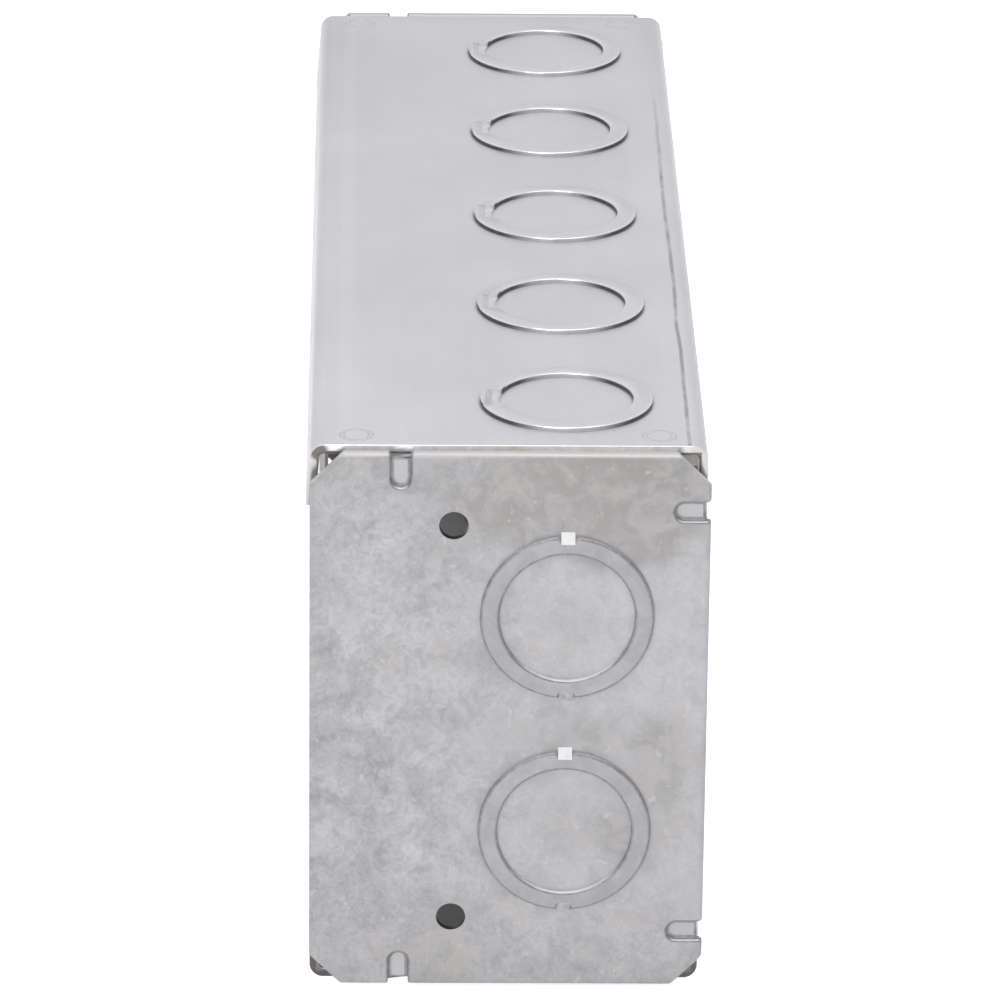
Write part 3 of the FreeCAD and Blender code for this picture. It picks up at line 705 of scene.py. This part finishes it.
for node, piece_name, facing in (
    ("end_plate_right", "right_end_plate", 1),
    ("end_plate_left", "left_end_plate", -1),
):
    low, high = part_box(node)
    outer = (high.x if facing > 0 else -low.x) - RING_RISE

    def plate_finish(middle, normal):
        """The finish of one face of this plate."""
        out, flat = facing * middle.x, abs(normal.x)
        if abs(middle.y - low.y) < HAIR and normal.y < -0.9:
            return RIM
        if out > outer + RING_RISE - HAIR and flat > 0.9:
            return RING
        if out < outer - SHEET - RING_RISE - HAIR or facing * normal.x < -0.5:
            return HOLLOW if faces_inside(middle, normal) else PLATE
        if in_bead(middle):
            sunk = out < outer - BEAD_DEPTH / 2
            return BEAD if flat < 0.75 else BEAD_FLOOR if sunk else PLATE
        if not on_face(middle):
            return PLATE
        up = abs(middle.z - MIDDLE.z) - END_HOLE_SPACING / 2
        if flat < 0.5 and math.hypot(middle.y - END_HOLE_PLACE, up) < END_HOLE_RADIUS + HAIR * 5:
            return HOLE
        if 0.15 < flat < 0.97:
            return RAMP
        return edge_side(middle) if flat < 0.5 else PLATE

    def plate_rim(edge):
        """Wide and soft along the beads and rings, and narrow elsewhere."""
        middle = (edge.verts[0].co + edge.verts[1].co) / 2
        finishes = [face.material_index for face in edge.link_faces]
        if in_bead(middle) and BEAD in finishes:
            if edge.is_convex:
                return BEAD_EDGE
            return BEAD_FILLET if facing * middle.x > outer - BEAD_DEPTH - HAIR else 0.0
        if not edge.is_convex or RAMP in finishes:
            return 0.0
        if INNER_EDGE not in finishes and OUTER_EDGE not in finishes:
            return PLATE_EDGE
        beside_ramp = abs(middle.y - RING_PLACE) < RAMP_HALF and OUTER_EDGE in finishes
        return 0.0 if beside_ramp and RING not in finishes else PLATE_RIM_EDGE

    def plate_rim_finish(middle, normal):
        """The rounding's finish follows the form that it belongs to."""
        if facing * normal.x < -0.2 or faces_inside(middle, normal):
            return HOLLOW
        if in_bead(middle):
            return INNER_EDGE if facing * middle.x > outer - BEAD_EDGE else BEAD
        raised = facing * middle.x > outer + HAIR
        return edge_side(middle) if raised and on_face(middle) else PLATE

    plate_shape = pressed_copy(node)
    for face in plate_shape.faces:
        face.material_index = plate_finish(face.calc_center_median(), face.normal)
    plate = finish_pressing(
        plate_shape,
        piece_name,
        PLATE_FINISHES,
        plate_rim,
        plate_rim_finish,
    )
    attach(plate, "root")
    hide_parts(node)

# The threads: the lips' screw holes and the earth screw's hole are tapped. One turn rule
# cuts them all, as a fine raised helix on each hole's wall.
THREAD_TURNS = 1.8
THREAD_PITCH = 0.00079
THREAD_DEPTH = 0.00022
THREAD_INSET = 0.0001
SCREW_HOLE = 0.00175
DEVICE_DROP = 0.005955
FIRST_GANG = -2 * RING_PITCH
LEAN_AT_SCREWS = 0.4 * LIP_LEAN
LEAN_TURN = 0.06
EARTH_HOLE = 0.0021
EARTH_DROP = 0.030
EARTH_PLACE = (-1.5 * RING_PITCH, WALL_BACK - 0.0018, MIDDLE.z - EARTH_DROP)
THREAD_STEEL = worn_steel("thread_steel")


def new_pattern(name, sizes):
    """A Geometry Nodes tree with named inputs for its sizes, and a geometry output."""
    tree = bpy.data.node_groups.new(name, "GeometryNodeTree")
    for key, kind in sizes.items():
        tree.interface.new_socket(name=key, in_out="INPUT", socket_type="NodeSocket" + kind)
    tree.interface.new_socket(name="Geometry", in_out="OUTPUT", socket_type="NodeSocketGeometry")
    return tree, tree.nodes.new("NodeGroupInput").outputs


PLACING = {
    "First": "Vector",
    "Step Along": "Vector",
    "Count Along": "Int",
    "Step Across": "Vector",
    "Count Across": "Int",
    "Turn": "Rotation",
}


def lay_out(tree, given, one, material):
    """Sets copies of one shape in rows, as real geometry with its material."""
    row = add_node(
        tree,
        "GeometryNodeMeshLine",
        mode="OFFSET",
        in_Count=given["Count Along"],
        in_Start_Location=given["First"],
        in_Offset=given["Step Along"],
    )
    rows = add_node(
        tree,
        "GeometryNodeMeshLine",
        mode="OFFSET",
        in_Count=given["Count Across"],
        in_Offset=given["Step Across"],
    )
    in_row = add_node(
        tree,
        "GeometryNodeInstanceOnPoints",
        in_Points=row.outputs["Mesh"],
        in_Instance=one,
        in_Rotation=given["Turn"],
    )
    in_rows = add_node(
        tree,
        "GeometryNodeInstanceOnPoints",
        in_Points=rows.outputs["Mesh"],
        in_Instance=in_row.outputs["Instances"],
    )
    real = add_node(tree, "GeometryNodeRealizeInstances", in_Geometry=in_rows.outputs["Instances"])
    painted = add_node(
        tree, "GeometryNodeSetMaterial", in_Geometry=real.outputs["Geometry"], in_Material=material
    )
    out = tree.nodes.new("NodeGroupOutput")
    tree.links.new(painted.outputs["Geometry"], out.inputs["Geometry"])


def from_pattern(name, layers):
    """One plain mesh from a pattern laid out several times with different sizes."""
    made = bmesh.new()
    for tree, values in layers:
        holder = bpy.data.objects.new(name, bpy.data.meshes.new(name))
        bpy.context.scene.collection.objects.link(holder)
        rule = holder.modifiers.new("pattern", "NODES")
        rule.node_group = tree
        for socket in tree.interface.items_tree:
            if socket.in_out == "INPUT":
                rule[socket.identifier] = values[socket.name]
        plain_mesh(holder)
        material = next(finish for finish in holder.data.materials if finish)
        made.from_mesh(holder.data)
        bpy.data.objects.remove(holder)
    mesh = bpy.data.meshes.new(name)
    made.to_mesh(mesh)
    made.free()
    mesh.materials.append(material)
    mesh.polygons.foreach_set("material_index", [0] * len(mesh.polygons))
    mesh.polygons.foreach_set("use_smooth", [True] * len(mesh.polygons))
    piece = bpy.data.objects.new(name, mesh)
    bpy.context.scene.collection.objects.link(piece)
    return piece


thread_tree, thread_sizes = new_pattern(
    "tapped_thread", {"Radius": "Float", "Length": "Float", "Turns": "Float", "Depth": "Float", **PLACING}
)
helix = add_node(
    thread_tree,
    "GeometryNodeCurveSpiral",
    in_Resolution=24,
    in_Rotations=thread_sizes["Turns"],
    in_Start_Radius=thread_sizes["Radius"],
    in_End_Radius=thread_sizes["Radius"],
    in_Height=thread_sizes["Length"],
)
ridge = add_node(
    thread_tree, "GeometryNodeCurvePrimitiveCircle", in_Resolution=4, in_Radius=thread_sizes["Depth"]
)
wound = add_node(
    thread_tree,
    "GeometryNodeCurveToMesh",
    in_Curve=helix.outputs["Curve"],
    in_Profile_Curve=ridge.outputs["Curve"],
    in_Fill_Caps=True,
)
lay_out(thread_tree, thread_sizes, wound.outputs["Mesh"], THREAD_STEEL)

screw_rows = {
    "Radius": SCREW_HOLE,
    "Length": THREAD_PITCH * THREAD_TURNS,
    "Turns": THREAD_TURNS,
    "Depth": THREAD_DEPTH,
    "Step Along": (RING_PITCH, 0.0, 0.0),
    "Count Along": 5,
    "Step Across": (0.0, 0.0, 0.0),
    "Count Across": 1,
}
lower_first = (FIRST_GANG, WALL_FRONT + THREAD_INSET, WALL_BOTTOM + DEVICE_DROP)
upper_first = (FIRST_GANG, WALL_FRONT + THREAD_INSET - LEAN_AT_SCREWS, WALL_TOP - DEVICE_DROP)
inwards = (-math.pi / 2, 0.0, 0.0)
leaning = (-math.pi / 2 - LEAN_TURN, 0.0, 0.0)
earth_screw = {"Radius": EARTH_HOLE, "Count Along": 1, "First": EARTH_PLACE, "Turn": inwards}
threads = from_pattern(
    "screw_threads",
    [
        (thread_tree, {**screw_rows, "First": lower_first, "Turn": inwards}),
        (thread_tree, {**screw_rows, "First": upper_first, "Turn": leaning}),
        (thread_tree, {**screw_rows, **earth_screw}),
    ],
)
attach(threads, "root")

# The spot welds: each flange is welded to the wall over it, which leaves on the wall a
# shallow round print of the electrode, with a low lip round it and a faint heat tint.
WELD_RADIUS = 0.0024
WELD_LIP = 0.00045
WELD_FLAT = 0.07
WELD_HALF_SPAN = 0.1087
WELD_FRONT = -0.0249
WELD_GAP = 0.0494
WELD_BACK_GAP = 0.0470
WELD_GREY = (0.630, 0.632, 0.662)


def weld_steel(name):
    """Sheet that the electrode pressed: the wall's grey, a little duller and mottled."""
    material, tree, shader, place = new_steel(name, metallic=0.35)
    clouds = noise(tree, place, 600.0, detail=3.0, roughness=0.6, distortion=0.5)
    tone = grey_steps(tree, clouds, [(0.3, tinted(WELD_GREY, 0.93)), (0.7, tinted(WELD_GREY, 1.08))])
    tree.links.new(tone, shader.inputs["Base Color"])
    shader.inputs["Roughness"].default_value = 0.5
    roughened(tree, shader, clouds, 0.12, 0.0001)
    return material


weld_tree, weld_sizes = new_pattern("weld_print", {"Radius": "Float", "Lip": "Float", **PLACING})
weld_round = add_node(
    weld_tree, "GeometryNodeCurvePrimitiveCircle", in_Resolution=28, in_Radius=weld_sizes["Radius"]
)
weld_lip = add_node(
    weld_tree, "GeometryNodeCurvePrimitiveCircle", in_Resolution=8, in_Radius=weld_sizes["Lip"]
)
weld_ring = add_node(
    weld_tree,
    "GeometryNodeCurveToMesh",
    in_Curve=weld_round.outputs["Curve"],
    in_Profile_Curve=weld_lip.outputs["Curve"],
)
weld_low = add_node(
    weld_tree,
    "GeometryNodeTransform",
    in_Geometry=weld_ring.outputs["Mesh"],
    in_Scale=(1.0, 1.0, WELD_FLAT),
)
lay_out(weld_tree, weld_sizes, weld_low.outputs["Geometry"], weld_steel("weld_print_steel"))

weld_rows = {
    "Radius": WELD_RADIUS,
    "Lip": WELD_LIP,
    "Step Along": (2 * WELD_HALF_SPAN, 0.0, 0.0),
    "Count Along": 2,
    "Count Across": 2,
}
flat_rows = {**weld_rows, "Step Across": (0.0, WELD_GAP, 0.0), "Turn": (0.0, 0.0, 0.0)}
back_rows = {
    **weld_rows,
    "First": (-WELD_HALF_SPAN, WALL_BACK, MIDDLE.z - WELD_BACK_GAP / 2),
    "Step Across": (0.0, 0.0, WELD_BACK_GAP),
    "Turn": (math.pi / 2, 0.0, 0.0),
}
welds = from_pattern(
    "spot_weld_prints",
    [
        (weld_tree, {**flat_rows, "First": (-WELD_HALF_SPAN, WELD_FRONT, WALL_TOP)}),
        (weld_tree, {**flat_rows, "First": (-WELD_HALF_SPAN, WELD_FRONT, WALL_BOTTOM)}),
        (weld_tree, back_rows),
    ],
)
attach(welds, "root")

# The floor: a plain pale sheet laid under the box. It shows white, as the background does,
# and keeps the soft shadow of the box on it.
FLOOR_SPAN = 6.0
FLOOR_PALE = (0.86, 0.86, 0.87)
FLOOR_LIFT = 0.75


def plainly_seen(tree):
    """One for the camera's rays, reflections and what shows through, and else nothing."""
    path = tree.nodes.new("ShaderNodeLightPath").outputs
    seen = larger(tree, path["Is Camera Ray"], path["Is Glossy Ray"])
    return larger(tree, seen, path["Is Transmission Ray"])


def pale_floor(name):
    """White to the camera and in reflections, with a diffuse part that takes the shadow."""
    material = bpy.data.materials.new(name)
    material.use_nodes = True
    tree = material.node_tree
    tree.nodes.clear()
    lift = times(tree, plainly_seen(tree), FLOOR_LIFT)
    matt = add_node(tree, "ShaderNodeBsdfDiffuse", in_Color=(*FLOOR_PALE, 1.0))
    glow = add_node(tree, "ShaderNodeEmission", in_Strength=lift)
    both = add_node(
        tree, "ShaderNodeAddShader", in_0=matt.outputs["BSDF"], in_1=glow.outputs["Emission"]
    )
    out = tree.nodes.new("ShaderNodeOutputMaterial")
    tree.links.new(both.outputs["Shader"], out.inputs["Surface"])
    return material


floor_mesh = bpy.data.meshes.new("floor")
half = FLOOR_SPAN / 2
floor_mesh.from_pydata(
    [(-half, -half, 0), (half, -half, 0), (half, half, 0), (-half, half, 0)], [], [(0, 1, 2, 3)]
)
floor_mesh.materials.append(pale_floor("pale_floor"))
floor = bpy.data.objects.new("floor", floor_mesh)
bpy.context.scene.collection.objects.link(floor)

# The light: a white studio, brighter from above and from the camera's end than from the
# sides, one broad soft lamp overhead and one beside the camera.
ROOM_LEVEL = 0.54
ROOM_ABOVE = 0.45
ROOM_ENDS = 0.425
ROOM_SIDES = -0.44
OVERHEAD_PLACE = (0.25, 0.1, 1.3)
FRONT_PLACE = (1.3, -0.5, 0.55)
world = bpy.data.worlds.new("white_room")
bpy.context.scene.world = world
world.use_nodes = True
room = world.node_tree
room.nodes.clear()
room_x, room_y, room_z = parts_of(room, room.nodes.new("ShaderNodeTexCoord").outputs["Generated"])
from_above = times(room, larger(room, room_z, 0.0), ROOM_ABOVE)
from_ends = times(room, larger(room, room_x, 0.0), ROOM_ENDS)
from_sides = times(room, worked(room, "ABSOLUTE", room_y), ROOM_SIDES)
level_light = worked(room, "ADD", from_sides, ROOM_LEVEL)
room_light = worked(room, "ADD", worked(room, "ADD", from_above, from_ends), level_light)
level = add_node(
    room, "ShaderNodeMapRange", in_Value=plainly_seen(room), in_3=room_light, in_4=1.0
)
glow = add_node(room, "ShaderNodeBackground", in_Strength=level.outputs["Result"])
room_out = room.nodes.new("ShaderNodeOutputWorld")
room.links.new(glow.outputs["Background"], room_out.inputs["Surface"])


def soft_lamp(name, place, span, power):
    """A square lamp that faces the middle of the box."""
    lamp_data = bpy.data.lights.new(name, "AREA")
    lamp_data.shape = "SQUARE"
    lamp_data.size = span
    lamp_data.energy = power
    lamp = bpy.data.objects.new(name, lamp_data)
    lamp.location = place
    lamp.rotation_euler = (Vector(place) - MIDDLE).to_track_quat("Z", "Y").to_euler()
    bpy.context.scene.collection.objects.link(lamp)
    return lamp


soft_lamp("overhead_lamp", OVERHEAD_PLACE, span=1.0, power=5.0)
soft_lamp("front_lamp", FRONT_PLACE, span=0.7, power=4.8)

# The camera: far off and a little above the box's right end, with a long lens, so that the
# box runs away from it in a slight perspective.
CAMERA_PLACE = Vector((1.2391, -0.0223, 0.5320))
CAMERA_YAW = -0.0185
CAMERA_PITCH = 0.3767
CAMERA_ROLL = 0.0114
CAMERA_LENS = 267.8
CAMERA_SENSOR = 36.0

ahead = Vector(
    (
        -math.cos(CAMERA_PITCH) * math.cos(CAMERA_YAW),
        -math.cos(CAMERA_PITCH) * math.sin(CAMERA_YAW),
        -math.sin(CAMERA_PITCH),
    )
)
level_right = ahead.cross(Vector((0, 0, 1))).normalized()
level_up = level_right.cross(ahead)
right = math.cos(CAMERA_ROLL) * level_right + math.sin(CAMERA_ROLL) * level_up
up = -math.sin(CAMERA_ROLL) * level_right + math.cos(CAMERA_ROLL) * level_up
camera_data = bpy.data.cameras.new("camera")
camera_data.lens = CAMERA_LENS
camera_data.sensor_width = CAMERA_SENSOR
camera = bpy.data.objects.new("camera", camera_data)
turn = Matrix((right, up, -ahead)).transposed().to_4x4()
camera.matrix_world = Matrix.Translation(CAMERA_PLACE) @ turn
bpy.context.scene.collection.objects.link(camera)
bpy.context.scene.camera = camera
bpy.context.scene.view_settings.view_transform = "Standard"
